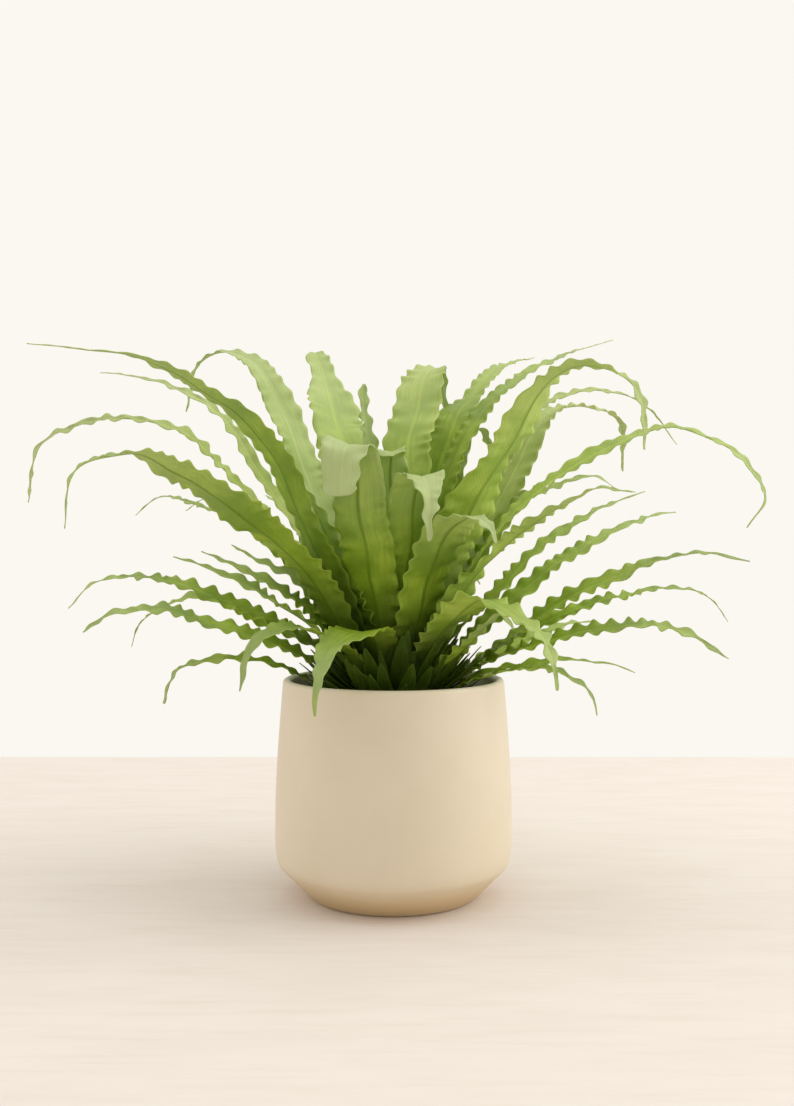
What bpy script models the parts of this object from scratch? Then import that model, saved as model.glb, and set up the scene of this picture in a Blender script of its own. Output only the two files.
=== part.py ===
"""A potted strap-leaved bird's-nest fern: a ceramic cover pot, its root ball, the crown and every frond.

Frame: metres, +Z up, the origin at the centre of the pot's flat underside.
"""

import math

import bmesh
import bpy
import numpy as np

MM = 0.001
GAP = 0.3 * MM  # between pieces that rest against each other

# ---------------------------------------------------------------- pot
POT_HEIGHT = 142.5 * MM
POT_RADIUS = 78.6 * MM  # at the shoulder, where the pot is widest
RIM_RADIUS = 73.5 * MM
FOOT_RADIUS = 54 * MM
FOOT_BEVEL = 1.2 * MM
CONE_HEIGHT = 20 * MM  # the slanted lower band, from foot to shoulder
CONE_TOP_RADIUS = 75 * MM
SHOULDER_HEIGHT = 40 * MM  # where the shoulder has rounded into the wall
WALL_BULGE = 1.4 * MM  # how far the tapering wall stands out of a straight line
POT_WALL = 5.5 * MM
POT_FLOOR = 8 * MM
POT_SIDES = 56
WALL_STEPS = 6
SHOULDER_STEPS = 4
LIP_STEPS = 4

# ---------------------------------------------------------------- root ball and crown
SOIL_DROP = 23 * MM  # from the rim down to the soil
CROWN_RADIUS = 32 * MM
CROWN_SINK = 9 * MM  # the dome's centre lies this far under the soil
CROWN_SIDES = 28
CROWN_RINGS = 5

# ---------------------------------------------------------------- fronds
BLADE_THICKNESS = 1.1 * MM  # at the midrib
EDGE_THICKNESS = 0.6 * MM
KEEL = 0.14  # rise of the edges over the midrib, as a share of the half width
ROOT_GAP = 0.5 * MM  # a frond's foot stands this far off the crown
STATIONS = 13  # cross-sections along a frond
SPINE_SAMPLES = 160

# Shares of a frond's length and of its full width that give its outline.
STALK_WIDTH = 0.16
BELLY = 0.40
NARROW_END = 0.92  # where the taper from the belly ends and the tail begins
TIP_START = 0.84
TIP_WIDTH = 0.4  # of the tail's width, at the very tip

# One row for each frond: heading (degrees from +X, counter-clockwise seen from above), full
# width (mm), sideways sway of the tip (mm), twist of the blade (degrees), the share of its
# length at which it starts to narrow, the tail's width as a share of the full width, and the
# points that its midrib passes through, as (reach from the pot's axis, height over the
# crown's centre) in mm.
FRONDS = {
    "frond_left_01": (215, 34, 8, 8, 0.30, 0.10,
                      ((38, 78), (70, 134), (89, 171), (125, 205), (171, 226), (248, 231))),
    "frond_left_02": (171, 14, 8, -30, 0.42, 0.25,
                      ((35, 78), (67, 134), (92, 171), (120, 210), (163, 233), (203, 238))),
    "frond_left_03": (151, 26, 0, -22, 0.42, 0.27,
                      ((42, 96), (64, 156), (89, 214), (113, 249), (139, 261), (163, 252), (175, 218))),
    "frond_left_04": (113, 44, 0, 0, 0.76, 0.42,
                      ((44, 114), (82, 176), (105, 209), (124, 233), (145, 254), (160, 272))),
    "frond_left_05": (110, 18, 0, 25, 0.70, 0.45, ((24, 100), (42, 143), (54, 188), (58, 216), (58, 235))),
    "frond_left_06": (188, 12, -12, -30, 0.50, 0.40,
                      ((39, 84), (83, 139), (106, 164), (145, 198), (192, 202), (231, 183), (238, 149))),
    "frond_left_07": (220, 36, 6, 12, 0.40, 0.13,
                      ((40, 60), (60, 91), (113, 134), (164, 162), (199, 172), (228, 162), (235, 130))),
    "frond_left_08": (148, 22, 8, -10, 0.42, 0.15,
                      ((47, 82), (86, 113), (122, 135), (176, 152), (202, 156), (226, 143))),
    "frond_left_09": (135, 22, -6, -10, 0.42, 0.15,
                      ((55, 76), (98, 109), (154, 140), (204, 160), (248, 148))),
    "frond_left_10": (125, 26, 0, 0, 0.50, 0.30, ((56, 87), (106, 123), (145, 148), (176, 158))),
    "frond_left_11": (208, 32, 0, 0, 0.60, 0.30, ((24, 74), (40, 104), (50, 130), (59, 149), (68, 163))),
    "frond_left_12": (168, 26, 8, -22, 0.42, 0.18, ((34, 63), (64, 96), (98, 113), (111, 120))),
    "frond_left_13": (181, 25, -8, -25, 0.42, 0.18, ((40, 60), (66, 85), (96, 102), (129, 116))),
    "frond_left_14": (207, 25, 8, -25, 0.42, 0.18, ((44, 52), (57, 66), (84, 84), (114, 101), (153, 113))),
    "frond_left_15": (178, 15, -12, -30, 0.34, 0.28,
                      ((44, 46), (84, 71), (132, 90), (170, 99), (208, 93), (223, 78))),
    "frond_left_16": (160, 16, 8, -25, 0.40, 0.25,
                      ((35, 39), (97, 68), (141, 85), (174, 76), (193, 62), (198, 46))),
    "frond_left_17": (202, 20, 8, -30, 0.42, 0.28,
                      ((58, 46), (93, 62), (131, 73), (160, 82), (187, 79), (203, 69))),
    "frond_left_18": (186, 10, 6, -30, 0.42, 0.55, ((57, 32), (78, 42), (114, 47), (143, 37), (151, 18))),
    "frond_front_01": (230, 19, 0, -10, 0.42, 0.28, ((45, 52), (74, 66), (104, 71), (127, 63), (139, 37))),
    "frond_front_02": (250, 32, 0, 0, 0.45, 0.20,
                      ((40, 63), (68, 67), (93, 63), (111, 56), (128, 43), (130, 24))),
    "frond_front_03": (250, 34, 0, 0, 0.80, 0.72,
                      ((30, 80), (48, 110), (61, 138), (68, 168), (76, 181), (84, 177), (88, 150))),
    "frond_front_04": (283, 31, 0, 0, 0.70, 0.35,
                      ((24, 78), (41, 111), (52, 138), (60, 155), (78, 162), (96, 150), (101, 123))),
    "frond_front_05": (296, 32, 0, 0, 0.55, 0.30,
                      ((33, 68), (52, 100), (70, 123), (90, 135), (109, 138), (127, 130), (132, 122))),
    "frond_front_06": (308, 30, 0, 0, 0.42, 0.25,
                      ((33, 49), (58, 72), (93, 87), (116, 79), (141, 66), (151, 45), (152, 38))),
    "frond_front_07": (318, 20, 0, 0, 0.50, 0.30, ((40, 38), (63, 57), (77, 71), (90, 78), (98, 69))),
    "frond_centre_01": (268, 30, 0, 0, 0.80, 0.60, ((9, 88), (14, 138), (19, 170), (26, 181), (36, 178))),
    "frond_centre_02": (70, 35, 0, 0, 0.74, 0.35,
                      ((16, 108), (23, 165), (31, 193), (48, 215), (80, 249), (97, 250), (108, 220))),
    "frond_right_01": (60, 36, 0, 0, 0.42, 0.16,
                      ((37, 110), (60, 159), (82, 205), (118, 231), (150, 253), (204, 270), (239, 278))),
    "frond_right_02": (42, 18, -8, 12, 0.42, 0.18,
                      ((29, 110), (48, 165), (86, 220), (130, 247), (175, 267), (224, 281))),
    "frond_right_03": (50, 25, 0, 0, 0.42, 0.30,
                      ((30, 78), (55, 138), (72, 183), (87, 205), (98, 206), (108, 197), (118, 173))),
    "frond_right_04": (318, 43, -6, 0, 0.42, 0.22,
                      ((33, 77), (65, 140), (101, 187), (126, 217), (160, 224), (187, 210), (193, 174))),
    "frond_right_05": (40, 34, 8, 8, 0.42, 0.22,
                      ((42, 83), (79, 124), (113, 170), (155, 218), (203, 228), (241, 218), (249, 179))),
    "frond_right_06": (22, 16, -10, 15, 0.42, 0.22,
                      ((34, 90), (72, 165), (123, 224), (172, 229), (199, 216), (218, 194))),
    "frond_right_07": (350, 17, 14, 25, 0.45, 0.36,
                      ((38, 84), (91, 152), (138, 183), (182, 196), (223, 179), (240, 149), (229, 131))),
    "frond_right_08": (18, 20, 6, 22, 0.42, 0.20,
                      ((41, 76), (71, 124), (96, 152), (122, 163), (152, 169), (170, 160))),
    "frond_right_09": (322, 35, -4, 8, 0.40, 0.15,
                      ((38, 65), (65, 100), (100, 128), (135, 147), (155, 154), (179, 151))),
    "frond_right_10": (6, 15, 10, 25, 0.42, 0.22, ((38, 57), (69, 88), (97, 116), (141, 145), (176, 157))),
    "frond_right_11": (20, 19, 10, 25, 0.42, 0.22,
                      ((48, 49), (90, 84), (132, 112), (181, 135), (226, 145))),
    "frond_right_12": (343, 22, -10, 26, 0.38, 0.22,
                      ((48, 37), (82, 63), (121, 89), (168, 109), (205, 116), (228, 111))),
    "frond_right_13": (10, 12, 10, 20, 0.42, 0.30,
                      ((59, 43), (108, 69), (154, 84), (194, 90), (231, 81), (243, 66))),
    "frond_right_14": (336, 19, -8, 28, 0.42, 0.28,
                      ((60, 42), (95, 57), (134, 68), (171, 72), (197, 67), (219, 55))),
    "frond_right_15": (30, 14, 6, 20, 0.42, 0.25, ((61, 35), (86, 46), (130, 59), (178, 64))),
    "frond_right_16": (0, 11, -6, 22, 0.42, 0.30, ((52, 33), (82, 40), (118, 45), (145, 41), (160, 35))),
    "frond_right_17": (328, 13, 0, 20, 0.42, 0.30, ((64, 36), (100, 44), (122, 42), (140, 32), (145, 18))),
    "frond_back_01": (76, 28, 6, 0, 0.42, 0.20, ((48, 86), (86, 131), (130, 153), (175, 146), (205, 123))),
    "frond_back_02": (90, 30, -6, 0, 0.42, 0.20,
                      ((44, 93), (77, 133), (117, 156), (163, 154), (196, 133), (210, 106))),
    "frond_back_03": (106, 28, 6, 0, 0.42, 0.20,
                      ((46, 86), (88, 124), (135, 144), (180, 138), (212, 110))),
    "frond_back_04": (68, 24, 6, 0, 0.42, 0.20, ((60, 70), (110, 96), (160, 102), (205, 88))),
    "frond_back_05": (84, 26, -8, 0, 0.42, 0.20, ((58, 76), (105, 103), (155, 110), (200, 98), (225, 78))),
    "frond_back_06": (99, 24, 8, 0, 0.42, 0.20, ((60, 68), (108, 91), (158, 96), (205, 80))),
    "frond_back_07": (114, 24, -6, 0, 0.42, 0.20, ((58, 70), (104, 96), (152, 105), (196, 93))),
    "frond_back_08": (76, 22, 8, 0, 0.42, 0.20, ((75, 51), (130, 64), (180, 60), (215, 38))),
    "frond_back_09": (92, 22, 0, 0, 0.42, 0.20, ((75, 46), (128, 56), (178, 53), (220, 34))),
    "frond_back_10": (108, 22, -8, 0, 0.42, 0.20, ((75, 54), (130, 68), (182, 64), (218, 42))),
}

SOIL_TOP = POT_HEIGHT - SOIL_DROP


def clear_scene():
    for obj in list(bpy.data.objects):
        bpy.data.objects.remove(obj, do_unlink=True)


def make_material(name, colour, roughness):
    material = bpy.data.materials.new(name)
    material.use_nodes = True
    shader = material.node_tree.nodes["Principled BSDF"]
    shader.inputs["Base Color"].default_value = (*colour, 1.0)
    shader.inputs["Roughness"].default_value = roughness
    shader.inputs["Metallic"].default_value = 0.0
    material.diffuse_color = (*colour, 1.0)
    return material


def add_object(name, mesh_data, material, crease_degrees=40):
    mesh = bpy.data.meshes.new(name)
    mesh_data.to_mesh(mesh)
    mesh_data.free()
    mesh.materials.append(material)
    mesh.shade_smooth()
    mesh.set_sharp_from_angle(angle=math.radians(crease_degrees))
    obj = bpy.data.objects.new(name, mesh)
    bpy.context.scene.collection.objects.link(obj)
    return obj


def smooth(x):
    x = np.clip(x, 0.0, 1.0)
    return x * x * (3 - 2 * x)


# ---------------------------------------------------------------- turned pieces


def turn(profile, sides):
    """A closed solid from an (r, z) profile that runs from the axis round to the axis."""
    solid = bmesh.new()
    rings = []
    for radius, height in profile:
        if radius < 1e-7:
            rings.append([solid.verts.new((0.0, 0.0, height))])
            continue
        angles = [2 * math.pi * k / sides for k in range(sides)]
        rings.append([solid.verts.new((radius * math.cos(a), radius * math.sin(a), height)) for a in angles])
    for lower, upper in zip(rings, rings[1:]):
        for k in range(sides):
            after = (k + 1) % sides
            corners = [lower[k % len(lower)], lower[after % len(lower)]]
            corners += [upper[after % len(upper)], upper[k % len(upper)]]
            solid.faces.new(list(dict.fromkeys(corners)))
    bmesh.ops.recalc_face_normals(solid, faces=solid.faces)
    return solid


def outer_profile():
    """From the edge of the underside up to the lip: bevelled foot, cone, round shoulder, bulged wall."""
    points = [(FOOT_RADIUS, 0.0), (FOOT_RADIUS + 2.4 * FOOT_BEVEL, FOOT_BEVEL)]
    start = np.array((CONE_TOP_RADIUS, CONE_HEIGHT))
    end = np.array((POT_RADIUS, SHOULDER_HEIGHT))
    cone = start - np.array((FOOT_RADIUS + 2.4 * FOOT_BEVEL, FOOT_BEVEL))
    corner = start + cone * (end[0] - start[0]) / cone[0]
    for k in range(SHOULDER_STEPS + 1):
        t = k / SHOULDER_STEPS
        points.append(tuple((1 - t) ** 2 * start + 2 * t * (1 - t) * corner + t * t * end))
    for k in range(1, WALL_STEPS + 1):
        t = k / WALL_STEPS
        radius = POT_RADIUS + (RIM_RADIUS - POT_RADIUS) * t + WALL_BULGE * math.sin(math.pi * t) * (1 - t / 2)
        points.append((radius, SHOULDER_HEIGHT + (POT_HEIGHT - POT_WALL / 2 - SHOULDER_HEIGHT) * t))
    return points


def offset_inwards(points, distance):
    """The same outline moved towards the axis, square to itself."""
    moved = []
    for k, (radius, height) in enumerate(points):
        before = points[max(k - 1, 0)]
        after = points[min(k + 1, len(points) - 1)]
        along = np.subtract(after, before)
        along = along / np.linalg.norm(along)
        moved.append((radius - distance * along[1], height + distance * along[0]))
    return moved


def inner_profile(clearance):
    """The hollow's outline at a clearance from it, from its floor up to the lip."""
    inside = offset_inwards(outer_profile(), POT_WALL + clearance)
    floor = POT_FLOOR + clearance
    walls = [point for point in inside if point[1] > floor + 2 * MM]
    first = walls[0]
    return [(first[0] - (first[1] - floor), floor)] + walls


def make_pot(material):
    outside = outer_profile()
    centre = (RIM_RADIUS - POT_WALL / 2, POT_HEIGHT - POT_WALL / 2)
    lip = []
    for k in range(1, LIP_STEPS):
        angle = math.pi * k / LIP_STEPS
        lip.append((centre[0] + POT_WALL / 2 * math.cos(angle), centre[1] + POT_WALL / 2 * math.sin(angle)))
    inside = inner_profile(0.0)
    profile = [(0.0, 0.0)] + outside + lip + inside[::-1] + [(0.0, POT_FLOOR)]
    return add_object("pot", turn(profile, POT_SIDES), material)


def make_root_ball(material):
    sides = [point for point in inner_profile(GAP) if point[1] < SOIL_TOP - 4 * MM]
    top_radius = np.interp(SOIL_TOP, *zip(*[(z, r) for r, z in inner_profile(GAP)]))
    profile = [(0.0, POT_FLOOR + GAP)] + sides + [(top_radius, SOIL_TOP), (0.0, SOIL_TOP)]
    return add_object("root_ball", turn(profile, POT_SIDES), material)


def crown_centre():
    return SOIL_TOP - CROWN_SINK


def make_crown(material):
    """A dome on the soil, from which every frond rises."""
    base = SOIL_TOP + GAP
    start = math.asin((base - crown_centre()) / CROWN_RADIUS)
    profile = [(0.0, base)]
    for k in range(CROWN_RINGS):
        angle = start + (math.pi / 2 - start) * k / CROWN_RINGS
        height = crown_centre() + CROWN_RADIUS * math.sin(angle)
        profile.append((CROWN_RADIUS * math.cos(angle), height))
    profile.append((0.0, crown_centre() + CROWN_RADIUS))
    return add_object("crown", turn(profile, CROWN_SIDES), material)


# ---------------------------------------------------------------- fronds


def spine_of(points):
    """Evenly spaced (reach, height) samples of a smooth curve from the crown through the points."""
    foot = np.array((0.0, crown_centre()))
    route = np.array(points) * MM + foot
    away = (route[0] - foot) / np.linalg.norm(route[0] - foot)
    route = np.vstack([foot + away * (CROWN_RADIUS + ROOT_GAP), route])
    steps = np.linalg.norm(np.diff(route, axis=0), axis=1)
    knots = np.concatenate([[0.0], np.cumsum(steps)])
    slopes = np.gradient(route, knots, axis=0, edge_order=1)
    slopes[0] = away
    samples = np.linspace(0.0, knots[-1], SPINE_SAMPLES)
    index = np.clip(np.searchsorted(knots, samples, side="right") - 1, 0, len(knots) - 2)
    width = steps[index][:, None]
    t = ((samples - knots[index])[:, None]) / width
    before, after = route[index], route[index + 1]
    rise, fall = slopes[index] * width, slopes[index + 1] * width
    curve = (2 * t**3 - 3 * t**2 + 1) * before + (t**3 - 2 * t**2 + t) * rise
    curve += (3 * t**2 - 2 * t**3) * after + (t**3 - t**2) * fall
    lengths = np.concatenate([[0.0], np.cumsum(np.linalg.norm(np.diff(curve, axis=0), axis=1))])
    even = np.linspace(0.0, lengths[-1], SPINE_SAMPLES)
    return np.stack([np.interp(even, lengths, curve[:, k]) for k in (0, 1)], axis=1)


def width_share(t, full, tail):
    """How wide a frond is at a share t of its length: narrow foot, broad belly, tail and tip."""
    rise = STALK_WIDTH + (1 - STALK_WIDTH) * smooth(t / BELLY)
    fall = 1 - (1 - tail) * smooth((t - full) / (NARROW_END - full))
    tip = 1 - (1 - TIP_WIDTH) * smooth((t - TIP_START) / (1 - TIP_START))
    return rise * fall * tip


def make_frond(name, heading, width, sway, twist, full, tail, points, material):
    """A closed strap: six corners to a section, folded a little along its midrib."""
    spine = spine_of(points)
    share = np.linspace(0.0, 1.0, STATIONS)
    at = np.linspace(0.0, 1.0, SPINE_SAMPLES)
    reach = np.interp(share, at, spine[:, 0])
    height = np.interp(share, at, spine[:, 1])
    out = np.array((math.cos(math.radians(heading)), math.sin(math.radians(heading)), 0.0))
    side = np.array((-out[1], out[0], 0.0))
    up = np.array((0.0, 0.0, 1.0))
    middle = reach[:, None] * out + height[:, None] * up + (sway * MM * share**2)[:, None] * side
    along = np.gradient(middle, axis=0)
    along /= np.linalg.norm(along, axis=1)[:, None]
    across = side - (along @ side)[:, None] * along
    across /= np.linalg.norm(across, axis=1)[:, None]
    above = np.cross(along, across)
    turned = np.radians(twist) * smooth(share / 0.6)[:, None]
    across, above = (
        across * np.cos(turned) + above * np.sin(turned),
        above * np.cos(turned) - across * np.sin(turned),
    )
    half = (width / 2 * MM * width_share(share, full, tail))[:, None]
    thick = BLADE_THICKNESS / 2
    edge = EDGE_THICKNESS / 2
    lift = KEEL * half
    corners = (
        middle + half * across + (lift + edge) * above,
        middle + thick * above,
        middle - half * across + (lift + edge) * above,
        middle - half * across + (lift - edge) * above,
        middle - thick * above,
        middle + half * across + (lift - edge) * above,
    )
    solid = bmesh.new()
    rings = [[solid.verts.new(corner[k]) for corner in corners] for k in range(STATIONS)]
    for lower, upper in zip(rings, rings[1:]):
        for k in range(6):
            after = (k + 1) % 6
            solid.faces.new((lower[k], lower[after], upper[after], upper[k]))
    for ring in (rings[0], rings[-1]):
        solid.faces.new((ring[0], ring[1], ring[4], ring[5]))
        solid.faces.new((ring[1], ring[2], ring[3], ring[4]))
    bmesh.ops.recalc_face_normals(solid, faces=solid.faces)
    return add_object(name, solid, material, crease_degrees=60)


def main():
    clear_scene()
    glaze = make_material("matte_beige_glaze", (0.72, 0.60, 0.42), 0.55)
    soil = make_material("potting_soil", (0.045, 0.030, 0.018), 0.95)
    scales = make_material("crown_scales", (0.10, 0.07, 0.03), 0.85)
    leaf = make_material("frond_green", (0.22, 0.36, 0.06), 0.45)
    make_pot(glaze)
    make_root_ball(soil)
    make_crown(scales)
    for name, row in FRONDS.items():
        make_frond(name, *row, leaf)


main()
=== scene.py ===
import math

import bpy
import numpy as np
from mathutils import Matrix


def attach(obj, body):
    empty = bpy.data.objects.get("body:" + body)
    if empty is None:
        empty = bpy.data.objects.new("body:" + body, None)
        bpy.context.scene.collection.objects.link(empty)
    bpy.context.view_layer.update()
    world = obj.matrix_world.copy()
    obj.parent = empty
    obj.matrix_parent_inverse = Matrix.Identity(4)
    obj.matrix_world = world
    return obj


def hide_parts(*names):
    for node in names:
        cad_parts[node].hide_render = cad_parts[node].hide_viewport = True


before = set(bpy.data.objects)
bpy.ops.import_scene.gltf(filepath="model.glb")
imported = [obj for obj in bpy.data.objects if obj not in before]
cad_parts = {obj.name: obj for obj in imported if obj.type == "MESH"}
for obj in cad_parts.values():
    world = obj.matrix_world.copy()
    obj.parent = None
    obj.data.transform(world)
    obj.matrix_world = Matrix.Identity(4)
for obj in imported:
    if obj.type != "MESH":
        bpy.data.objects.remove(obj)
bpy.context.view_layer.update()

mm = 0.001
scene = bpy.context.scene


def deselectAll():
    if bpy.context.mode != "OBJECT":
        bpy.ops.object.mode_set(mode="OBJECT")
    bpy.ops.object.select_all(action="DESELECT")


def finishPiece(piece, name, nodeNames):
    # every piece ends with its place in its mesh, rides on the one body and hides the node it stands for
    deselectAll()
    piece.name = name
    piece.data.name = name
    piece.select_set(True)
    bpy.context.view_layer.objects.active = piece
    bpy.ops.object.transform_apply(location=True, rotation=True, scale=True)
    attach(piece, "root")
    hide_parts(*nodeNames)
    piece.select_set(False)


def useModifier(piece, kind, **settings):
    bpy.context.view_layer.objects.active = piece
    modifier = piece.modifiers.new(kind.title(), kind)
    for key, value in settings.items():
        setattr(modifier, key, value)
    bpy.ops.object.modifier_apply(modifier=modifier.name)


def joinInto(piece, others):
    deselectAll()
    for other in others:
        other.select_set(True)
    piece.select_set(True)
    bpy.context.view_layer.objects.active = piece
    bpy.ops.object.join()


def between(rng, ends):
    return ends[0] + (ends[1] - ends[0]) * rng.random()


def smooth(x):
    x = np.clip(x, 0.0, 1.0)
    return x * x * (3 - 2 * x)


def wander(rng, x, waves):
    # a gentle random curve along x, built from a few sines, roughly within -1 to 1
    total = np.zeros_like(x)
    for k in range(3):
        rate = waves * (0.6 + 0.5 * k) * (1 + 0.3 * (rng.random() - 0.5))
        total += math.pow(0.7, k) * np.sin(2 * math.pi * (rate * x + rng.random()))
    return total / 1.7


class Wire:
    # wraps one socket, so that shader maths can be written as ordinary expressions
    def __init__(self, tree, socket=None):
        self.tree = tree
        self.socket = socket

    def add(self, kind, settings, sockets, out=0):
        node = self.tree.nodes.new(kind)
        for key, value in settings.items():
            setattr(node, key, value)
        for key, value in sockets.items():
            if isinstance(value, Wire):
                self.tree.links.new(value.socket, node.inputs[key])
            else:
                node.inputs[key].default_value = value
        return Wire(self.tree, node.outputs[out])

    def maths(self, operation, first, second=0.0, third=0.0):
        return self.add("ShaderNodeMath", {"operation": operation}, {0: first, 1: second, 2: third})

    def __add__(self, other):
        return self.maths("ADD", self, other)

    __radd__ = __add__

    def __sub__(self, other):
        return self.maths("SUBTRACT", self, other)

    def __rsub__(self, other):
        return self.maths("SUBTRACT", other, self)

    def __mul__(self, other):
        return self.maths("MULTIPLY", self, other)

    __rmul__ = __mul__

    def __abs__(self):
        return self.maths("ABSOLUTE", self)

    def rise(self, low, high):
        # 0 below low, 1 above high, a soft step between
        settings = {"interpolation_type": "SMOOTHSTEP"}
        return self.add("ShaderNodeMapRange", settings, {"Value": self, "From Min": low, "From Max": high})

    def blend(self, first, second):
        # the colour first where this is 0 and second where it is 1
        first, second = [c if isinstance(c, Wire) else (*c, 1.0) for c in (first, second)]
        return self.add("ShaderNodeMix", {"data_type": "RGBA"}, {0: self, 6: first, 7: second}, out=2)

    def noise(self, where, scale, detail=3.0, roughness=0.55):
        sockets = {"Vector": where, "Scale": scale, "Detail": detail, "Roughness": roughness}
        return self.add("ShaderNodeTexNoise", {}, sockets)

    def bump(self, height, distance, strength=1.0):
        sockets = {"Height": height, "Distance": distance, "Strength": strength}
        return self.add("ShaderNodeBump", {}, sockets)


def newMaterial(name, **constants):
    # a Principled material: constants go on its own sockets, and the rest is wired by the caller
    material = bpy.data.materials.new(name)
    material.use_nodes = True
    shader = material.node_tree.nodes["Principled BSDF"]
    for key, value in constants.items():
        shader.inputs[key.replace("_", " ")].default_value = value
    return material, shader, Wire(material.node_tree)


def connect(shader, **wires):
    for key, wire in wires.items():
        wire.tree.links.new(wire.socket, shader.inputs[key.replace("_", " ")])


# sizes in mm, the same as the pot's own
pot = {"height": 142.5, "shoulder": 78.6, "rim": 73.5, "foot": 54, "footBevel": 1.2, "bevelRun": 2.4,
       "coneTop": 20, "coneRadius": 75, "shoulderTop": 40, "bulge": 1.4, "wall": 5.5, "floor": 8,
       "floorClear": 1.5, "sides": 144, "wallSteps": 14, "roundSteps": 8, "lipSteps": 8, "soil": 119.5}


def potOutline():
    # (radius, height) from the edge of the underside up to the lip
    footEdge = pot["foot"] + pot["bevelRun"] * pot["footBevel"]
    points = [(pot["foot"], 0.0), (pot["foot"] + 0.7 * pot["footBevel"], 0.25 * pot["footBevel"])]
    points.append((footEdge, pot["footBevel"]))
    rise = (pot["coneTop"] - pot["footBevel"]) / (pot["coneRadius"] - footEdge)
    corner = (pot["shoulder"], pot["coneTop"] + rise * (pot["shoulder"] - pot["coneRadius"]))
    for k in range(pot["roundSteps"] + 1):
        t = k / pot["roundSteps"]
        a, b, c = (1 - t) * (1 - t), 2 * t * (1 - t), t * t
        radius = a * pot["coneRadius"] + b * corner[0] + c * pot["shoulder"]
        points.append((radius, a * pot["coneTop"] + b * corner[1] + c * pot["shoulderTop"]))
    top = pot["height"] - pot["wall"] / 2
    for k in range(1, pot["wallSteps"] + 1):
        t = k / pot["wallSteps"]
        radius = pot["shoulder"] + (pot["rim"] - pot["shoulder"]) * t
        radius += pot["bulge"] * math.sin(math.pi * t) * (1 - t / 2)
        points.append((radius, pot["shoulderTop"] + (top - pot["shoulderTop"]) * t))
    return points


def insideOutline():
    # the outline moved in by the wall, from a slanted corner on the floor up to the lip
    outside = potOutline()
    points = []
    for k, (radius, height) in enumerate(outside):
        before = outside[max(k - 1, 0)]
        after = outside[min(k + 1, len(outside) - 1)]
        run = (after[0] - before[0], after[1] - before[1])
        length = math.hypot(*run)
        moved = (radius - pot["wall"] * run[1] / length, height + pot["wall"] * run[0] / length)
        if moved[1] > pot["floor"] + pot["floorClear"]:
            points.append(moved)
    first = points[0]
    return [(first[0] - (first[1] - pot["floor"]), pot["floor"])] + points


capInset = 0.45  # how far a closed end's inner ring stands in, as a share of the end's radius
creaseAngle = 38  # degrees; sharper edges than this stay crisp


def turnPiece(profile, sides):
    # a ring at the first (radius, height), then one extruded and resized ring for each further point
    deselectAll()
    radius, height = profile[0]
    bpy.ops.mesh.primitive_circle_add(vertices=sides, radius=radius * mm, location=(0, 0, height * mm))
    piece = bpy.context.active_object
    bpy.ops.object.transform_apply(location=True)
    bpy.ops.object.mode_set(mode="EDIT")
    bpy.ops.mesh.select_all(action="SELECT")
    bpy.ops.mesh.edge_face_add()
    bpy.ops.mesh.inset(thickness=radius * mm * capInset)
    bpy.ops.mesh.select_all(action="DESELECT")
    bpy.ops.object.mode_set(mode="OBJECT")
    for edge in piece.data.edges:
        ends = [piece.data.vertices[i].co for i in edge.vertices]
        edge.select = all(co.xy.length > radius * mm * 0.95 for co in ends)
    bpy.ops.object.mode_set(mode="EDIT")
    bpy.ops.mesh.select_mode(type="EDGE")
    for (radius, height), (wider, higher) in zip(profile, profile[1:]):
        lift = (higher - height) * mm
        bpy.ops.mesh.extrude_edges_move(TRANSFORM_OT_translate={"value": (0, 0, lift)})
        share = wider / radius
        bpy.ops.transform.resize(value=(share, share, 1), center_override=(0, 0, 0))
    bpy.ops.mesh.edge_face_add()
    bpy.ops.mesh.inset(thickness=profile[-1][0] * mm * capInset)
    bpy.ops.mesh.select_all(action="SELECT")
    bpy.ops.mesh.normals_make_consistent(inside=False)
    bpy.ops.object.mode_set(mode="OBJECT")
    bpy.ops.object.shade_smooth_by_angle(angle=math.radians(creaseAngle))
    return piece


# colours, of which low is painted shade towards the foot, lip a painted highlight on the lip and inner
# painted light on the inside wall; then noise scales, bands in m that a colour fades over, and how deep and
# strong the relief is
glazeLook = {"pale": (0.77, 0.665, 0.51), "deep": (0.74, 0.635, 0.475), "low": (0.66, 0.50, 0.28),
             "lip": (0.79, 0.69, 0.53), "inner": (0.93, 0.85, 0.72), "roughness": 0.42, "clouds": 14.0,
             "specks": 900.0, "dents": 60.0, "footShadeBand": (0.004, 0.030), "lipHighlightBand": (0.1395, 0.1435),
             "litInnerRadius": (0.0695, 0.0715), "litInnerHeight": (0.100, 0.110), "relief": (0.0004, 0.25)}


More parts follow.
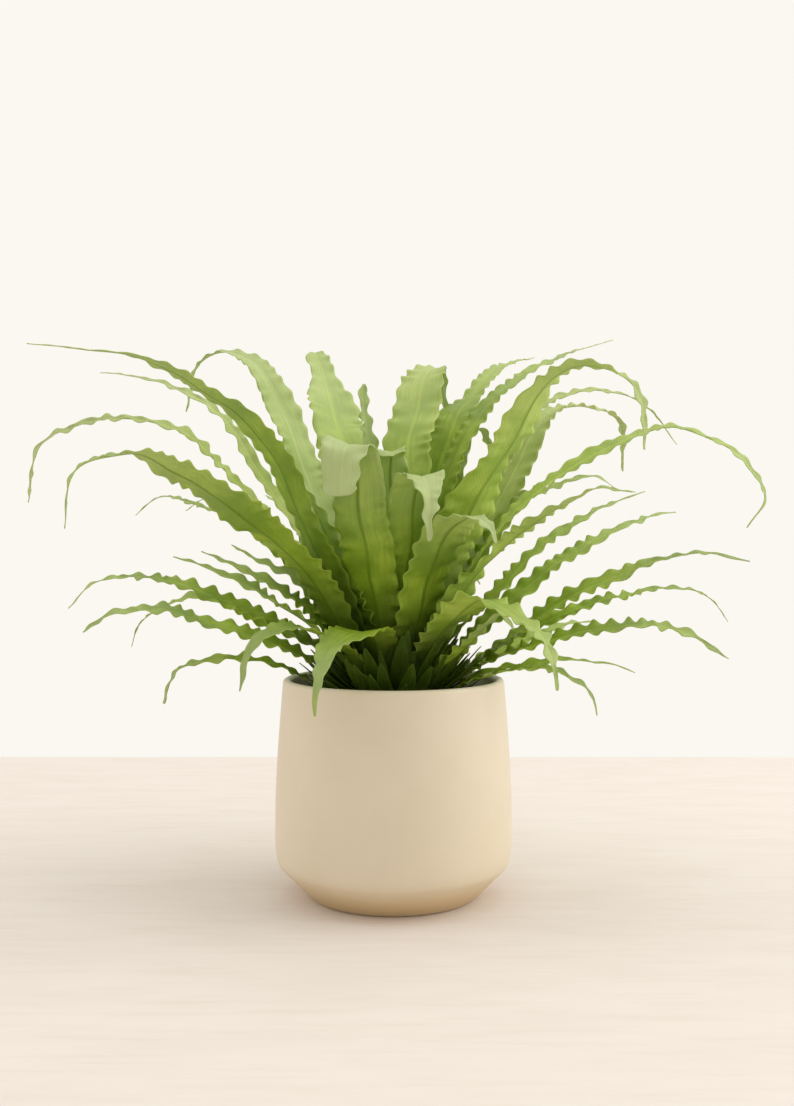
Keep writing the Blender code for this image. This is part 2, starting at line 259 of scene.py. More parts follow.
def glazeMaterial():
    material, shader, wire = newMaterial("matteBeigeGlaze", Specular_IOR_Level=0.5)
    place = wire.add("ShaderNodeTexCoord", {}, {}, out="Object")
    height = wire.add("ShaderNodeSeparateXYZ", {}, {0: place}, out="Z")
    cloud = wire.noise(place, glazeLook["clouds"], 4.0).rise(0.35, 0.65)
    speck = wire.noise(place, glazeLook["specks"], 2.0)
    colour = cloud.blend(glazeLook["pale"], glazeLook["deep"])
    # painted shade: the glaze turns darker and warmer towards the foot
    colour = (1 - height.rise(*glazeLook["footShadeBand"])).blend(colour, glazeLook["low"])
    # painted highlight: the top of the lip is lighter
    colour = height.rise(*glazeLook["lipHighlightBand"]).blend(colour, glazeLook["lip"])
    east = wire.add("ShaderNodeSeparateXYZ", {}, {0: place}, out="X")
    north = wire.add("ShaderNodeSeparateXYZ", {}, {0: place}, out="Y")
    fromAxis = wire.maths("SQRT", east * east + north * north)
    # painted light: the inside wall near the top is made much lighter, standing in for light falling into the
    # pot
    within = (1 - fromAxis.rise(*glazeLook["litInnerRadius"])) * height.rise(*glazeLook["litInnerHeight"])
    colour = within.blend(colour, glazeLook["inner"])
    relief = wire.noise(place, glazeLook["dents"], 3.0) * 0.6 + speck * 0.25
    rough = cloud * 0.05 + speck * 0.06 + (glazeLook["roughness"] - 0.05)
    connect(shader, Base_Color=colour, Roughness=rough, Normal=wire.bump(relief, *glazeLook["relief"]))
    return material


def makePot():
    inside = insideOutline()
    profile = potOutline()
    lip = pot["wall"] / 2
    middle = (pot["rim"] - lip, pot["height"] - lip)
    for k in range(1, pot["lipSteps"]):
        angle = math.pi * k / pot["lipSteps"]
        profile.append((middle[0] + lip * math.cos(angle), middle[1] + lip * math.sin(angle)))
    profile += inside[::-1]
    piece = turnPiece(profile, pot["sides"])
    piece.data.materials.append(glazeMaterial())
    finishPiece(piece, "coverPot", ["pot"])
    print("pot made")


# lengths in mm; crumbs and scales are how many small pieces are strewn over the two surfaces
soilLook = {"dark": (0.016, 0.010, 0.006), "light": (0.085, 0.055, 0.032), "grain": 420.0, "gap": 0.6,
            "sides": 96, "edgeDrop": 4, "edgeGap": 0.4, "rings": (1.0, 0.9, 0.8, 0.7, 0.6, 0.5),
            "lump": 0.9, "crumbs": 420, "crumbRing": (31, 36), "crumbSize": (0.6, 1.7), "crumbLift": 0.3}
crownLook = {"dark": (0.035, 0.020, 0.010), "light": (0.16, 0.10, 0.045), "grain": 260.0, "radius": 32,
             "centre": 110.5, "soilGap": 0.4, "scales": 190, "scaleLength": (5, 10),
             "scaleEnds": (1.0, 0.1), "flatness": 0.35, "lowest": 0.32, "spread": 0.66, "crease": 40}


def earthMaterial(name, look):
    material, shader, wire = newMaterial(name, Specular_IOR_Level=0.2)
    place = wire.add("ShaderNodeTexCoord", {}, {}, out="Object")
    grain = wire.noise(place, look["grain"], 6.0, 0.7)
    colour = grain.rise(0.38, 0.66).blend(look["dark"], look["light"])
    rough = grain * 0.2 + 0.75
    connect(shader, Base_Color=colour, Roughness=rough, Normal=wire.bump(grain, 0.0012, 0.8))
    return material


def makeSoil():
    rng = np.random.default_rng(41)
    gap = soilLook["gap"]
    plug = [(r - gap, z + gap) for r, z in insideOutline() if z < pot["soil"] - soilLook["edgeDrop"]]
    top = plug[-1][0] - soilLook["edgeGap"]
    rings = plug + [(top * share, pot["soil"]) for share in soilLook["rings"]]
    piece = turnPiece(rings, soilLook["sides"])
    for vertex in piece.data.vertices:
        if vertex.co.z > (pot["soil"] - 2) * mm and vertex.co.xy.length < top * 0.97 * mm:
            vertex.co.z += soilLook["lump"] * mm * (rng.random() * 2 - 1.2)  # sinks more than it rises
    crumbs = []
    nearest, ring = soilLook["crumbRing"]
    smallest, more = soilLook["crumbSize"]
    for k in range(soilLook["crumbs"]):
        deselectAll()
        angle = rng.random() * 2 * math.pi
        radius = (nearest + ring * math.sqrt(rng.random())) * mm
        size = (smallest + more * rng.random() ** 2) * mm
        height = (pot["soil"] + soilLook["crumbLift"]) * mm
        place = (radius * math.cos(angle), radius * math.sin(angle), height)
        bpy.ops.mesh.primitive_ico_sphere_add(subdivisions=1, radius=size, location=place)
        crumb = bpy.context.active_object
        crumb.scale = (0.7 + 0.8 * rng.random(), 0.7 + 0.8 * rng.random(), 0.5 + 0.5 * rng.random())
        crumb.rotation_euler = (rng.random() * 3, rng.random() * 3, rng.random() * 3)
        crumbs.append(crumb)
    joinInto(piece, crumbs)
    piece.data.materials.append(earthMaterial("pottingSoil", soilLook))
    finishPiece(piece, "pottingSoil", ["root_ball"])
    print("soil made")


def makeCrown():
    rng = np.random.default_rng(57)
    deselectAll()
    radius = crownLook["radius"] * mm
    centre = crownLook["centre"] * mm
    cut = (pot["soil"] + crownLook["soilGap"]) * mm
    bpy.ops.mesh.primitive_uv_sphere_add(segments=48, ring_count=24, radius=radius, location=(0, 0, centre))
    piece = bpy.context.active_object
    bpy.ops.object.transform_apply(location=True)
    bpy.ops.object.mode_set(mode="EDIT")
    bpy.ops.mesh.select_all(action="SELECT")
    bpy.ops.mesh.bisect(plane_co=(0, 0, cut), plane_no=(0, 0, 1), clear_inner=True, use_fill=True)
    bpy.ops.object.mode_set(mode="OBJECT")
    scales = []
    wide, sharp = crownLook["scaleEnds"]
    for k in range(crownLook["scales"]):
        deselectAll()
        turnAngle = rng.random() * 2 * math.pi
        rise = math.asin(crownLook["lowest"] + crownLook["spread"] * rng.random())
        level = math.cos(rise)
        out = np.array((math.cos(turnAngle) * level, math.sin(turnAngle) * level, math.sin(rise)))
        place = out * radius * 1.01 + np.array((0, 0, centre))
        long = between(rng, crownLook["scaleLength"]) * mm
        ends = {"radius1": wide * mm, "radius2": sharp * mm}
        bpy.ops.mesh.primitive_cone_add(vertices=6, depth=long, location=place, **ends)
        scale = bpy.context.active_object
        scale.scale = (1.0, crownLook["flatness"], 1.0)
        lean = 0.9 * (math.pi / 2 - rise)
        scale.rotation_euler = (0.5 * rng.random(), lean, turnAngle + 0.6 * (rng.random() - 0.5))
        scales.append(scale)
    joinInto(piece, scales)
    bpy.ops.object.shade_smooth_by_angle(angle=math.radians(crownLook["crease"]))
    piece.data.materials.append(earthMaterial("crownScales", crownLook))
    finishPiece(piece, "scalyCrown", ["crown"])
    print("crown made")


# a lit and a shaded green for each tone; the under side is a little duller
leafTones = {"pale": ((0.66, 0.76, 0.31), (0.43, 0.56, 0.15)),
             "sage": ((0.64, 0.73, 0.24), (0.41, 0.51, 0.11)),
             "fresh": ((0.64, 0.78, 0.15), (0.33, 0.48, 0.045)),
             "mid": ((0.50, 0.65, 0.062), (0.21, 0.34, 0.015)),
             "shaded": ((0.13, 0.20, 0.012), (0.05, 0.09, 0.004))}
# patterns run along the blade, 0 at its foot and 1 at its tip, and out from the rib, 0, to the edge, 1; the
# fades say where the foot's painted shade, the edges' painted highlight and the tip's colour come in, and
# heightLightFade, painted light that pales the higher blades, is in m over the table
leafLook = {"veins": 800.0, "slant": 40.0, "streaks": (16.0, 5.0, 1.0), "mottle": 30.0, "fine": 260.0,
            "shades": (0.03, 0.06, 0.62), "edgeHighlightFade": (0.78, 1.0), "edgeHighlightShare": 0.4, "rib": 0.05,
            "foot": (0.055, 0.090, 0.006), "footShadeFade": (0.03, 0.42), "tip": (0.72, 0.80, 0.44),
            "tipFade": (0.42, 0.95), "tipShare": 0.5, "heightLightFade": (0.20, 0.36), "heightLightShare": 0.12,
            "relief": (0.0003, 0.5), "glow": (0.44, 0.60, 0.04), "through": 0.30}
# how strongly the rib shows and how rough the blade is, on each of its faces
leafFaces = {"Upper": {"ribShare": 0.32, "roughness": 0.42}, "Under": {"ribShare": 0.7, "roughness": 0.52}}


def leafMaterial(tone, face):
    bright, dark = leafTones[tone]
    material, shader, wire = newMaterial(tone + "Leaf" + face, Specular_IOR_Level=0.3)
    place = wire.add("ShaderNodeTexCoord", {}, {}, out="Object")
    ownMap = wire.add("ShaderNodeUVMap", {}, {}, out="UV")
    u = wire.add("ShaderNodeSeparateXYZ", {}, {0: ownMap}, out="X")
    t = wire.add("ShaderNodeSeparateXYZ", {}, {0: ownMap}, out="Y")
    fromRib = abs(u - 0.5) * 2
    mottle = wire.noise(place, leafLook["mottle"], 5.0, 0.6).rise(0.36, 0.66)
    colour = mottle.blend(bright, dark)
    veins = wire.maths("SINE", t * leafLook["veins"] - fromRib * leafLook["slant"])
    fine = wire.noise(place, leafLook["fine"], 3.0)
    stretched = wire.add("ShaderNodeMapping", {}, {"Vector": ownMap, "Scale": leafLook["streaks"]})
    streak = wire.noise(stretched, 1.0, 5.0, 0.65).rise(0.35, 0.70)
    veinShade, fineShade, streakShade = leafLook["shades"]
    colour = (veins * veinShade + fine * fineShade + streak * streakShade).blend(colour, dark)
    # painted highlight: the blade's edges are lightened towards the lit green
    colour = (fromRib.rise(*leafLook["edgeHighlightFade"]) * leafLook["edgeHighlightShare"]).blend(colour, bright)
    if tone != "shaded":
        # painted light: blades higher over the table are paler, on top of the tips' own paler tone
        high = wire.add("ShaderNodeSeparateXYZ", {}, {0: place}, out="Z").rise(*leafLook["heightLightFade"])
        tipToneAndHeightLight = t.rise(*leafLook["tipFade"]) * leafLook["tipShare"] + high * leafLook["heightLightShare"]
        colour = tipToneAndHeightLight.blend(colour, leafLook["tip"])
    if face == "Upper":
        ribColour = tuple(min(1.0, c * 1.2 + 0.06) for c in bright)
    else:
        ribColour = tuple(c * 0.6 for c in dark)
    rib = 1 - fromRib.rise(leafLook["rib"] * 0.4, leafLook["rib"] * 1.6)
    colour = (rib * leafFaces[face]["ribShare"]).blend(colour, ribColour)
    # painted shade: the blade darkens towards its foot, deep in the rosette
    colour = (1 - t.rise(*leafLook["footShadeFade"])).blend(colour, leafLook["foot"])
    relief = veins * 0.2 + fine * 0.25 + streak * 0.6 + (1 - fromRib.rise(0.02, 0.12)) * 0.8
    rough = fine * 0.12 + leafFaces[face]["roughness"]
    connect(shader, Base_Color=colour, Roughness=rough, Normal=wire.bump(relief, *leafLook["relief"]))
    through = wire.add("ShaderNodeBsdfTranslucent", {}, {"Color": (*leafLook["glow"], 1.0)})
    principled = Wire(material.node_tree, shader.outputs[0])
    mixed = wire.add("ShaderNodeMixShader", {}, {0: leafLook["through"], 1: principled, 2: through})
    output = material.node_tree.nodes["Material Output"]
    material.node_tree.links.new(mixed.socket, output.inputs["Surface"])
    return material


# One row for each frond: tone, heading (degrees from the right, turning towards the back), full width (mm),
# sideways sway of the tip (mm), twist (degrees), the share of its length at which it starts to narrow, how
# wide its tail is as a share of the full width, and the points that its midrib passes through, as (reach
# from the pot's axis, height over the crown's centre) in mm.
fronds = {
    "left_01": ("mid", 215, 34, 8, 8, 0.30, 0.10,
        ((38, 78), (70, 134), (89, 171), (125, 205), (171, 226), (248, 231))),
    "left_02": ("sage", 171, 14, 8, -30, 0.42, 0.25,
        ((35, 78), (67, 134), (92, 171), (120, 210), (163, 233), (203, 238))),
    "left_03": ("pale", 151, 33, 0, -22, 0.42, 0.27,
        ((42, 96), (64, 156), (89, 214), (113, 249), (139, 261), (163, 252), (175, 218))),
    "left_04": ("fresh", 113, 44, 0, 0, 0.76, 0.42,
        ((44, 114), (82, 176), (105, 209), (124, 233), (145, 254), (160, 272))),
    "left_05": ("mid", 110, 18, 0, 25, 0.70, 0.45,
        ((24, 100), (42, 143), (54, 188), (58, 216), (58, 235))),
    "left_06": ("sage", 188, 11, -12, -30, 0.50, 0.40,
        ((39, 84), (83, 139), (106, 164), (145, 198), (192, 202), (231, 183), (238, 149))),
    "left_07": ("mid", 220, 36, 6, 12, 0.48, 0.18,
        ((40, 60), (60, 91), (113, 134), (164, 162), (199, 172), (228, 162), (235, 130))),
    "left_08": ("mid", 148, 22, 8, -10, 0.42, 0.15,
        ((47, 82), (86, 113), (122, 135), (176, 152), (202, 156), (226, 143))),
    "left_09": ("mid", 135, 22, -6, -10, 0.42, 0.15,
        ((55, 76), (98, 109), (154, 140), (204, 160), (248, 148))),
    "left_10": ("sage", 125, 26, 0, 0, 0.50, 0.30, ((56, 87), (106, 123), (145, 148), (176, 158))),
    "left_11": ("mid", 208, 32, 0, 0, 0.60, 0.30, ((24, 74), (40, 104), (50, 130), (59, 149), (68, 163))),
    "left_12": ("mid", 168, 26, 8, -22, 0.42, 0.18, ((34, 63), (64, 96), (98, 113), (111, 120))),
    "left_13": ("mid", 181, 25, -8, -25, 0.42, 0.18, ((40, 60), (66, 85), (96, 102), (129, 116))),
    "left_14": ("mid", 207, 25, 8, -25, 0.42, 0.18,
        ((44, 52), (57, 66), (84, 84), (114, 101), (153, 113))),
    "left_15": ("mid", 178, 15, -12, -30, 0.34, 0.28,
        ((44, 46), (84, 71), (132, 90), (170, 99), (208, 93), (223, 78))),
    "left_16": ("mid", 160, 16, 8, -25, 0.40, 0.25,
        ((35, 39), (97, 68), (141, 85), (174, 76), (193, 62), (198, 46))),
    "left_17": ("mid", 202, 20, 8, -30, 0.42, 0.28,
        ((58, 46), (93, 62), (131, 73), (160, 82), (187, 79), (203, 69))),
    "left_18": ("mid", 186, 7, 6, -30, 0.42, 0.55, ((57, 32), (78, 42), (114, 47), (143, 37), (151, 18))),
    "front_01": ("mid", 230, 19, 0, -10, 0.42, 0.28,
        ((45, 52), (74, 66), (104, 71), (127, 63), (139, 37))),
    "front_02": ("mid", 250, 32, 0, 0, 0.45, 0.20,
        ((40, 63), (68, 67), (93, 63), (111, 56), (128, 43), (130, 24))),
    "front_03": ("folded", 250, 34, 0, 0, 0.80, 0.72,
        ((30, 80), (48, 110), (61, 138), (68, 168), (76, 181), (84, 177), (88, 150))),
    "front_04": ("folded", 283, 31, 0, 0, 0.70, 0.35,
        ((24, 78), (41, 111), (52, 138), (60, 155), (78, 162), (96, 150), (101, 123))),
    "front_05": ("folded", 296, 32, 0, 0, 0.55, 0.30,
        ((33, 68), (52, 100), (70, 123), (90, 135), (109, 138), (127, 130), (132, 122))),
    "front_06": ("fresh", 308, 30, 0, 0, 0.42, 0.25,
        ((33, 49), (58, 72), (93, 87), (116, 79), (141, 66), (151, 45), (152, 38))),
    "front_07": ("mid", 318, 20, 0, 0, 0.50, 0.30, ((40, 38), (63, 57), (77, 71), (90, 78), (98, 69))),
    "centre_01": ("mid", 268, 30, 0, 0, 0.80, 0.60, ((9, 88), (14, 138), (19, 170), (26, 181), (36, 178))),
    "centre_02": ("fresh", 70, 35, 0, 0, 0.74, 0.35,
        ((16, 108), (23, 165), (31, 193), (48, 215), (80, 249), (97, 250), (108, 220))),
    "right_01": ("mid", 60, 36, 0, 0, 0.42, 0.16,
        ((37, 110), (60, 159), (82, 205), (118, 231), (150, 253), (204, 270), (239, 278))),
    "right_02": ("mid", 42, 18, -8, 12, 0.42, 0.18,
        ((29, 110), (48, 165), (86, 220), (130, 247), (175, 267), (224, 281))),
    "right_03": ("pale", 50, 25, 0, 0, 0.42, 0.30,
        ((30, 78), (55, 138), (72, 183), (87, 205), (98, 206), (108, 197), (118, 173))),
    "right_04": ("fresh", 318, 43, -6, 0, 0.42, 0.22,
        ((33, 77), (65, 140), (101, 187), (126, 217), (160, 224), (187, 210), (193, 174))),
    "right_05": ("sage", 40, 34, 8, 8, 0.42, 0.22,
        ((42, 83), (79, 124), (113, 170), (155, 218), (203, 228), (241, 218), (249, 179))),
    "right_06": ("sage", 22, 16, -10, 15, 0.42, 0.22,
        ((34, 90), (72, 165), (123, 224), (172, 229), (199, 216), (218, 194))),
    "right_07": ("fresh", 350, 17, 14, 25, 0.45, 0.36,
        ((38, 84), (91, 152), (138, 183), (182, 196), (223, 179), (240, 149), (229, 131))),
    "right_08": ("mid", 18, 20, 6, 22, 0.42, 0.20,
        ((41, 76), (71, 124), (96, 152), (122, 163), (152, 169), (170, 160))),
    "right_09": ("fresh", 322, 35, -4, 8, 0.40, 0.15,
        ((38, 65), (65, 100), (100, 128), (135, 147), (155, 154), (179, 151))),
    "right_10": ("fresh", 6, 15, 10, 25, 0.42, 0.22,
        ((38, 57), (69, 88), (97, 116), (141, 145), (176, 157))),
    "right_11": ("fresh", 20, 19, 10, 25, 0.42, 0.22,
        ((48, 49), (90, 84), (132, 112), (181, 135), (226, 145))),
    "right_12": ("mid", 343, 22, -10, 26, 0.38, 0.22,
        ((48, 37), (82, 63), (121, 89), (168, 109), (205, 116), (228, 111))),
    "right_13": ("mid", 10, 12, 10, 20, 0.42, 0.30,
        ((59, 43), (108, 69), (154, 84), (194, 90), (231, 81), (243, 66))),
    "right_14": ("mid", 336, 19, -8, 28, 0.42, 0.28,
        ((60, 42), (95, 57), (134, 68), (171, 72), (197, 67), (219, 55))),
    "right_15": ("fresh", 30, 14, 6, 20, 0.42, 0.25, ((61, 35), (86, 46), (130, 59), (178, 64))),
    "right_16": ("mid", 0, 8, -6, 22, 0.42, 0.30, ((52, 33), (82, 40), (118, 45), (145, 41), (160, 35))),
    "right_17": ("mid", 328, 10, 0, 20, 0.42, 0.30,
        ((64, 36), (100, 44), (122, 42), (140, 32), (145, 18))),
    "back_01": ("mid", 76, 28, 6, 0, 0.42, 0.20,
        ((48, 86), (86, 131), (130, 153), (175, 146), (205, 123))),
    "back_02": ("mid", 90, 30, -6, 0, 0.42, 0.20,
        ((44, 93), (77, 133), (117, 156), (163, 154), (196, 133), (210, 106))),
    "back_03": ("mid", 106, 28, 6, 0, 0.42, 0.20,
        ((46, 86), (88, 124), (135, 144), (180, 138), (212, 110))),
    "back_04": ("mid", 68, 24, 6, 0, 0.42, 0.20, ((60, 70), (110, 96), (160, 102), (205, 88))),
    "back_05": ("mid", 84, 26, -8, 0, 0.42, 0.20,
        ((58, 76), (105, 103), (155, 110), (200, 98), (225, 78))),
    "back_06": ("mid", 99, 24, 8, 0, 0.42, 0.20, ((60, 68), (108, 91), (158, 96), (205, 80))),
    "back_07": ("mid", 114, 24, -6, 0, 0.42, 0.20, ((58, 70), (104, 96), (152, 105), (196, 93))),
    "back_08": ("mid", 76, 22, 8, 0, 0.42, 0.20, ((75, 51), (130, 64), (180, 60), (215, 38))),
    "back_09": ("mid", 92, 22, 0, 0, 0.42, 0.20, ((75, 46), (128, 56), (178, 53), (220, 34))),
    "back_10": ("mid", 108, 22, -8, 0, 0.42, 0.20, ((75, 54), (130, 68), (182, 64), (218, 42))),
}


# how every blade is built, lengths in mm: rows across and along, thickness, ruffles and scallops; routeWaves
# are the slow waves of its sway, rise and twist, and edgeWaves are those of the ruffles' length, the ruffles'
# height and the scallops
bladeShape = {"across": 12, "along": 230, "thickness": 0.45, "keel": 0.14, "groove": 0.5, "ruffle": 1.7,
              "wave": 12.0, "mostRuffle": 0.22, "scallop": 0.05, "beads": 0.48, "beadWave": 17.0,
              "meander": 1.6, "wobble": 12, "stalk": 0.52, "belly": 0.36, "narrowEnd": 0.92, "point": 0.16,
              "bluntPoint": 0.03, "bluntFrom": 0.4, "sink": 4, "samples": 240, "crowd": 0.85,
              "routeWaves": (75, 60, 90), "edgeWaves": (45, 34, 40)}


def spineOf(points):
    # evenly spaced (reach, height) along a smooth curve from inside the crown through the row's points
    foot = np.array((0.0, crownLook["centre"]))
    route = np.array(points, float) + foot
    away = (route[0] - foot) / np.linalg.norm(route[0] - foot)
    route = np.vstack([foot + away * (crownLook["radius"] + 0.5), route])
    steps = np.linalg.norm(np.diff(route, axis=0), axis=1)
    knots = np.concatenate([[0.0], np.cumsum(steps)])
    slopes = np.gradient(route, knots, axis=0, edge_order=1)
    slopes[0] = away
    samples = np.linspace(0.0, knots[-1], bladeShape["samples"])
    index = np.clip(np.searchsorted(knots, samples, side="right") - 1, 0, len(knots) - 2)
    width = steps[index][:, None]
    t = (samples - knots[index])[:, None] / width
    before, after = route[index], route[index + 1]
    rise, fall = slopes[index] * width, slopes[index + 1] * width
    curve = (2 * t**3 - 3 * t**2 + 1) * before + (t**3 - 2 * t**2 + t) * rise
    curve += (3 * t**2 - 2 * t**3) * after + (t**3 - t**2) * fall
    curve = np.vstack([curve[0] - away * bladeShape["sink"], curve])
    lengths = np.concatenate([[0.0], np.cumsum(np.linalg.norm(np.diff(curve, axis=0), axis=1))])
    even = np.linspace(0.0, lengths[-1], bladeShape["samples"])
    return np.stack([np.interp(even, lengths, curve[:, k]) for k in (0, 1)], axis=1), lengths[-1]


def widthShare(t, full, tail):
    # narrow foot, broad belly, a tail of its own width, then a short point
    rise = bladeShape["stalk"] + (1 - bladeShape["stalk"]) * smooth(t / bladeShape["belly"])
    fall = 1 - (1 - tail) * smooth((t - full) / (bladeShape["narrowEnd"] - full))
    point = bladeShape["point"] if tail < bladeShape["bluntFrom"] else bladeShape["bluntPoint"]
    tip = np.clip((1.01 - t) / point, 0.0, 1.0) ** 0.7
    return rise * fall * tip


# fronds whose edges ruffle less or more than the others', as a share of the usual ruffle
calmness = {"left_01": 0.6, "left_03": 0.8, "left_04": 0.7, "left_06": 1.2, "left_07": 0.8, "left_15": 1.3,
            "left_18": 1.2, "front_01": 0.6, "front_02": 0.55, "front_03": 0.8, "front_04": 0.8,
            "front_05": 0.8, "centre_02": 0.7, "right_01": 0.75, "right_02": 0.85, "right_04": 0.75,
            "right_07": 0.7, "right_13": 1.3, "right_14": 1.2}


def finishBlade(piece, tone, name, nodeName):
    # a finish for each face, then the sheet's thickness
    for leaf in leafMaterials[tone]:
        piece.data.materials.append(leaf)
    useModifier(piece, "SOLIDIFY", thickness=bladeShape["thickness"] * mm, offset=-1, material_offset=1)
    piece.data.shade_smooth()
    finishPiece(piece, name, [nodeName])


def growFrond(number, name, tone, heading, width, sway, twist, full, tail, points):
    rng = np.random.default_rng(900 + number)
    spine, length = spineOf(points)
    deselectAll()
    rows = {"x_subdivisions": bladeShape["across"], "y_subdivisions": bladeShape["along"]}
    bpy.ops.mesh.primitive_grid_add(size=2, **rows)
    piece = bpy.context.active_object
    mesh = piece.data
    co = np.empty(len(mesh.vertices) * 3)
    mesh.vertices.foreach_get("co", co)
    co = co.reshape(-1, 3)
    across = -np.sign(co[:, 0]) * np.abs(co[:, 0]) ** bladeShape["crowd"]
    share = (co[:, 1] + 1) / 2

    # the midrib's route and its own axes, sampled along the blade
    t = np.linspace(0.0, 1.0, bladeShape["samples"])
    out = np.array((math.cos(math.radians(heading)), math.sin(math.radians(heading)), 0.0))
    side = np.array((-out[1], out[0], 0.0))
    up = np.array((0.0, 0.0, 1.0))
    swayWave, riseWave, twistWave = bladeShape["routeWaves"]
    loose = smooth((t - 0.15) / 0.4) * bladeShape["meander"]
    sideways = sway * t**2 + wander(rng, t, length / swayWave) * loose
    lift = wander(rng, t, length / riseWave) * loose * 0.6
    middle = spine[:, :1] * out + (spine[:, 1] + lift)[:, None] * up + sideways[:, None] * side
    ahead = np.gradient(middle, axis=0)
    ahead /= np.linalg.norm(ahead, axis=1)[:, None]
    right = side - (ahead @ side)[:, None] * ahead
    right /= np.linalg.norm(right, axis=1)[:, None]
    above = np.cross(ahead, right)
    wobble = wander(rng, t, length / twistWave) * bladeShape["wobble"] * smooth(t / 0.5)
    turned = np.radians(twist * smooth(t / 0.6) + wobble)[:, None]
    level, upright = right, above
    right = level * np.cos(turned) + upright * np.sin(turned)
    above = upright * np.cos(turned) - level * np.sin(turned)

    # each edge ripples and scallops by itself; where the blade is narrow, the scallops turn into beads
    half = width / 2 * widthShare(t, full, tail)
    narrow = 1 - smooth((half - 2.0) / 6.0)
    rippleWave, swellWave, notchWave = bladeShape["edgeWaves"]
    calm = calmness.get(name, 1.0)
    offsets = np.zeros(len(share))
    widths = np.zeros(len(share))
    for edge in (-1, 1):
        wave = bladeShape["wave"] * (1 + 0.38 * wander(rng, t, length / rippleWave))
        wave = wave * (0.85 + 0.35 * rng.random())
        phase = 2 * math.pi * (rng.random() + np.cumsum(np.gradient(t) * length / wave))
        swell = bladeShape["ruffle"] * (1 + 0.55 * wander(rng, t, length / swellWave)) * smooth(t / 0.25)
        swell = np.minimum(swell, bladeShape["mostRuffle"] * half) * calm
        beadWave = wave + (bladeShape["beadWave"] - bladeShape["wave"]) * narrow
        beadPhase = 2 * math.pi * (rng.random() + np.cumsum(np.gradient(t) * length / beadWave))
        depth = bladeShape["scallop"] + (bladeShape["beads"] - bladeShape["scallop"]) * narrow
        pinched = 2.2 * (0.5 + 0.5 * np.sin(beadPhase)) ** 2 - 0.8  # short beads, long thin gaps
        bead = np.sin(beadPhase) + narrow * (pinched - np.sin(beadPhase))
        notch = depth * bead * (1 + 0.4 * wander(rng, t, length / notchWave)) * calm
        mine = across * edge > 0
        reach = np.abs(across[mine])
        offsets[mine] = np.interp(share[mine], t, swell * np.sin(phase)) * reach**2.2
        widths[mine] = np.interp(share[mine], t, half * (1 + notch)) * reach * edge

    def at(values):
        return np.stack([np.interp(share, t, values[:, k]) for k in range(3)], axis=1)

    halfHere = np.interp(share, t, half)
    rib = np.exp(-((across * halfHere / 1.3) ** 2)) * np.minimum(bladeShape["groove"], 0.12 * halfHere)
    height = bladeShape["keel"] * halfHere * np.abs(across) + offsets - rib
    placed = at(middle) + at(right) * widths[:, None] + at(above) * height[:, None]
    mesh.vertices.foreach_set("co", (placed * mm).ravel())
    mesh.update()
    finishBlade(piece, tone, "frond." + name, "frond_" + name)


# short inner fronds that fill the middle of the rosette, sizes in mm; each one turns on from the last by so
# many radians, has its knee at a share of its reach and height, and stands lower the further it reaches
youngLook = {"count": 110, "across": 6, "along": 26, "width": (9, 17), "reach": (28, 66),
             "height": (58, 84), "drop": 0.8, "keel": 0.22, "turn": 2.4, "knee": (0.72, 0.66)}


def makeYoungFronds():
    rng = np.random.default_rng(77)
    blades = []
    nearest, furthest = youngLook["reach"]
    kneeOut, kneeUp = youngLook["knee"]
    rows = {"x_subdivisions": youngLook["across"], "y_subdivisions": youngLook["along"]}
    for k in range(youngLook["count"]):
        heading = k * youngLook["turn"] + 0.3 * rng.random()
        width = between(rng, youngLook["width"])
        reach = nearest + (furthest - nearest) * math.sqrt(rng.random())
        height = between(rng, youngLook["height"])
        height -= youngLook["drop"] * (reach - nearest)
        spine = spineOf(((reach * kneeOut, height * kneeUp), (reach, height)))[0]
        deselectAll()
        bpy.ops.mesh.primitive_grid_add(size=2, **rows)
        blade = bpy.context.active_object
        out = np.array((math.cos(heading), math.sin(heading), 0.0))
        side = np.array((-out[1], out[0], 0.0))
        even = np.linspace(0.0, 1.0, bladeShape["samples"])
        for vertex in blade.data.vertices:
            share = (vertex.co.y + 1) / 2
            across = -vertex.co.x
            half = width / 2 * max(1.01 - share, 0.0) ** 0.75 * (0.75 + 0.8 * share)
            radius = np.interp(share, even, spine[:, 0]) - youngLook["keel"] * half * abs(across)
            place = out * radius + side * half * across
            place[2] = np.interp(share, even, spine[:, 1])
            vertex.co = place * mm
        blades.append(blade)
    joinInto(blades[0], blades[1:])
    finishBlade(blades[0], "shaded", "youngFronds", "crown")
    print("young fronds made")


leafMaterials = {tone: (leafMaterial(tone, "Upper"), leafMaterial(tone, "Under")) for tone in leafTones}
leafMaterials["folded"] = (leafMaterials["pale"][0], leafMaterials["mid"][1])
makePot()
makeSoil()
makeCrown()
makeYoungFronds()
for number, (name, row) in enumerate(fronds.items()):
    growFrond(number, name, *row)
print("fronds made:", len(fronds))


# the table, the pale wall, the camera and, below them, the lights; lengths in m, but the lens in mm
studio = {"tableColour": (0.82, 0.75, 0.695), "streakTint": (0.95, 0.93, 0.93),
          "lineTint": (0.88, 0.84, 0.80), "tableSize": (5.0, 3.0), "tableEdge": 0.496,
          "wall": (0.965, 0.939, 0.880), "ambient": 0.74,
          "lens": 38.96, "sensor": 36, "eye": (0.0023, -0.798, 0.2335), "lensDrop": -0.0108}
# each soft square light: its side, where it stands, what it faces, its power in watts and its colour
lights = {"windowRight": (2.2, (2.2, -0.05, 1.25), (0, 0, 0.2), 34, (0.99, 1.0, 0.99)),
          "fillLeft": (1.6, (-1.8, 0.3, 0.9), (0, 0, 0.15), 9, (1.0, 0.98, 0.95)),
          "skyTop": (1.4, (0.1, 0.2, 1.8), (0, 0, 0.2), 8, (1.0, 0.99, 0.96))}


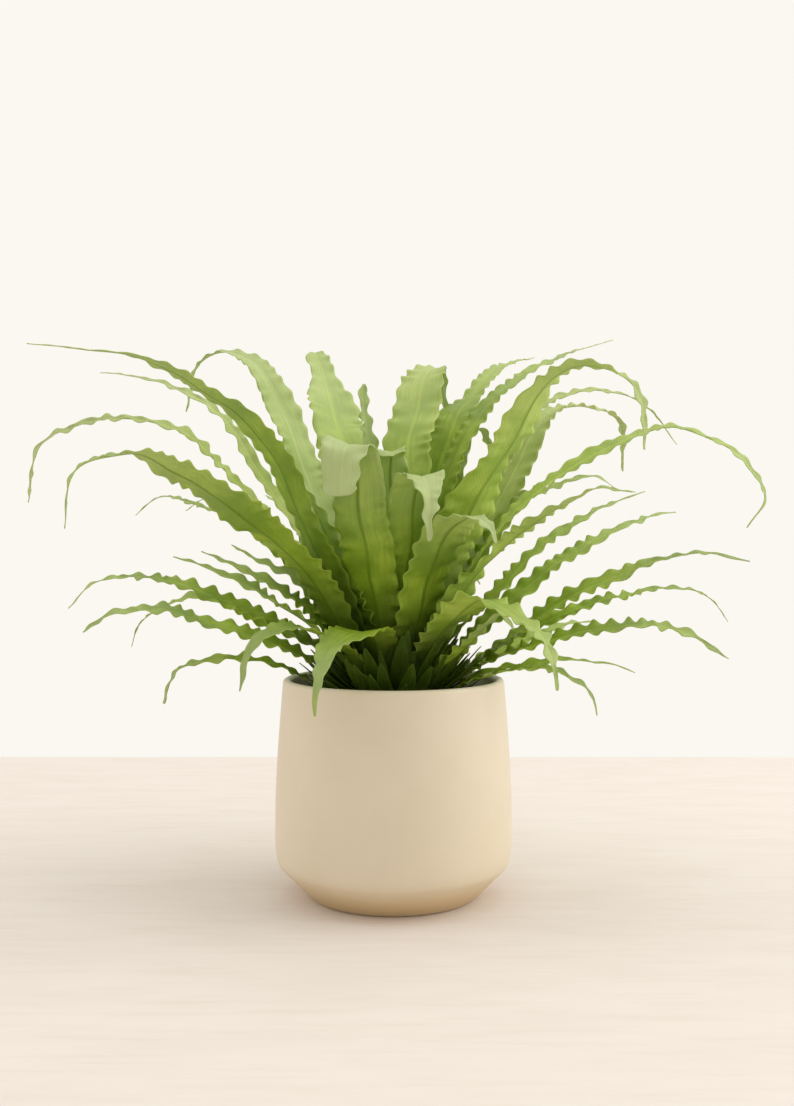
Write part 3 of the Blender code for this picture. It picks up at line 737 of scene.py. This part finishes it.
def tableMaterial():
    material, shader, wire = newMaterial("paleTable", Specular_IOR_Level=0.2)
    place = wire.add("ShaderNodeTexCoord", {}, {}, out="Object")
    stretched = wire.add("ShaderNodeMapping", {}, {"Vector": place, "Scale": (2.2, 7.0, 1.0)})
    streak = wire.noise(stretched, 5.0, 6.0, 0.6).rise(0.3, 0.75)
    base = studio["tableColour"]
    thin = wire.add("ShaderNodeMapping", {}, {"Vector": place, "Scale": (4.0, 46.0, 1.0)})
    lines = wire.noise(thin, 3.0, 4.0, 0.6).rise(0.48, 0.72)
    colour = (streak * 0.7).blend(base, tuple(c * k for c, k in zip(base, studio["streakTint"])))
    colour = (lines * 0.3).blend(colour, tuple(c * k for c, k in zip(base, studio["lineTint"])))
    connect(shader, Base_Color=colour, Roughness=streak * 0.1 + 0.6)
    return material


def setStage():
    wide, deep = studio["tableSize"]
    deselectAll()
    bpy.ops.mesh.primitive_plane_add(size=1, location=(0, 0, 0))
    table = bpy.context.active_object
    table.name = "table"
    bpy.ops.object.mode_set(mode="EDIT")
    bpy.ops.mesh.select_all(action="SELECT")
    bpy.ops.transform.resize(value=(wide, deep, 1))
    bpy.ops.transform.translate(value=(0, studio["tableEdge"] - deep / 2, 0))
    bpy.ops.object.mode_set(mode="OBJECT")
    table.data.materials.append(tableMaterial())


def addLight(name, size, place, target, power, colour):
    bpy.ops.object.light_add(type="AREA", location=place)
    light = bpy.context.active_object
    light.name = name
    light.data.size = size
    light.data.energy = power
    light.data.color = colour
    aim = np.subtract(target, place)
    tilt = math.atan2(math.hypot(aim[0], aim[1]), -aim[2])
    light.rotation_euler = (tilt, 0, math.atan2(-aim[0], aim[1]))


def lightStage():
    scene.view_settings.view_transform = "Standard"
    world = bpy.data.worlds.new("paleWall")
    scene.world = world
    world.use_nodes = True
    wire = Wire(world.node_tree)
    background = world.node_tree.nodes["Background"]
    background.inputs["Color"].default_value = (*studio["wall"], 1)
    # the wall looks full strength, and lights the plant a little less
    seen = wire.add("ShaderNodeLightPath", {}, {}, out="Is Camera Ray")
    strength = seen * (1 - studio["ambient"]) + studio["ambient"]
    world.node_tree.links.new(strength.socket, background.inputs["Strength"])
    for name, row in lights.items():
        addLight(name, *row)


def placeCamera():
    bpy.ops.object.camera_add(location=studio["eye"], rotation=(math.pi / 2, 0, 0))
    camera = bpy.context.active_object
    camera.data.lens = studio["lens"]
    camera.data.sensor_width = studio["sensor"]
    camera.data.shift_y = studio["lensDrop"]
    scene.camera = camera


setStage()
lightStage()
placeCamera()
deselectAll()
print("stage set")
